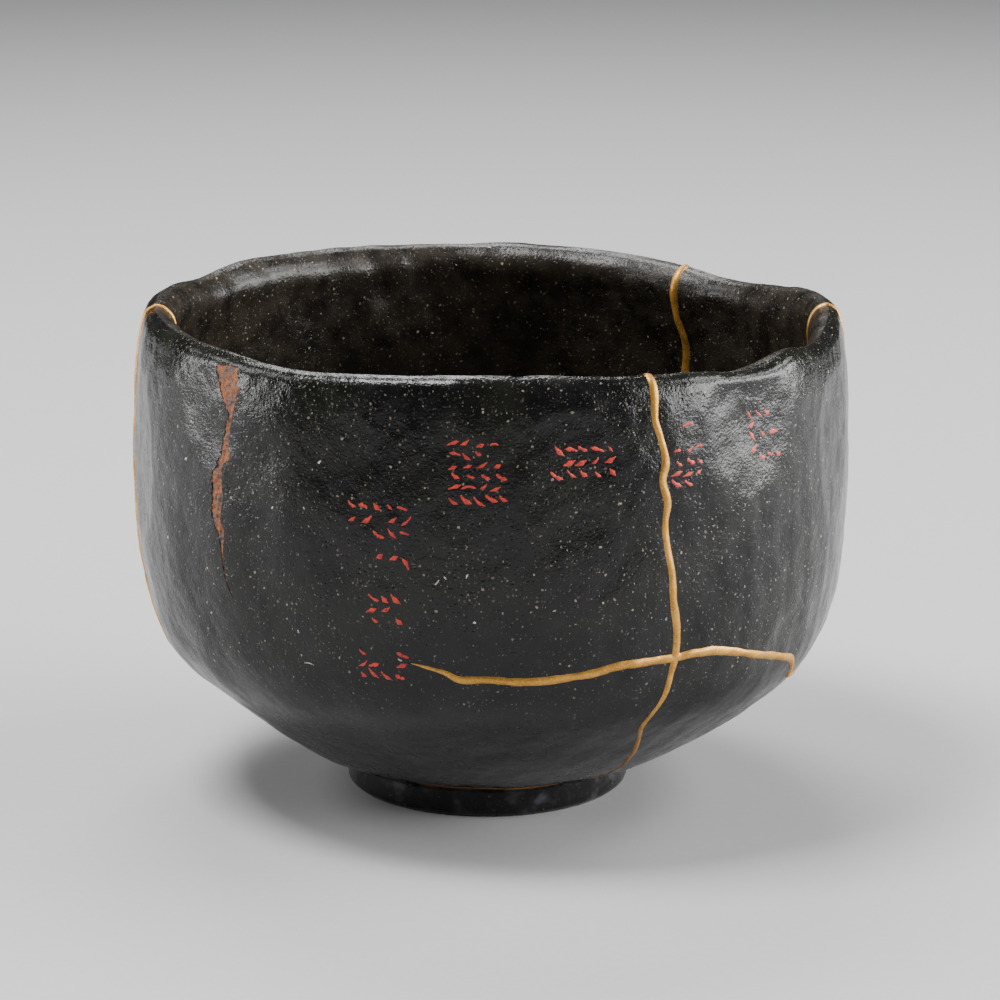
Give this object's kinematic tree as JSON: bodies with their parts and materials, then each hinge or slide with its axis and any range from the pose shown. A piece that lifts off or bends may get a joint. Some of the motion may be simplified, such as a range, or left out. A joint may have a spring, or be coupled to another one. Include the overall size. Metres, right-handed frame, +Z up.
{
  "type": "kintsugi tea bowl",
  "caption": "Hand-built black tea bowl on a low ring foot, broken and rejoined with raised gold lacquer seams, one lost flake filled brown.",
  "frame": {"origin": "on the surface the bowl stands on, under the middle of its bounding box", "axes": "+Z up along the bowl's axis, -Y to the front that carries the long front seam, +X to the right seen from the front"},
  "size_m": [0.1206, 0.1192, 0.0837],
  "materials": {
    "black_glaze": "gloss black glaze with fine pits and pale specks",
    "gold_lacquer": "satin gold powder on lacquer",
    "brown_lacquer": "worn brown lacquer with darker edges",
    "red_lacquer": "worn vermilion brush strokes",
    "bare_clay": "bare fired clay in small chips and scratches"
  },
  "bodies": {
    "root": {"front_left_sherd": "black_glaze", "front_right_sherd": "black_glaze", "back_right_sherd": "black_glaze", "back_left_sherd": "black_glaze", "gold_seams": "gold_lacquer", "brown_lacquer_fill": "brown_lacquer"}
  },
  "joints": []
}
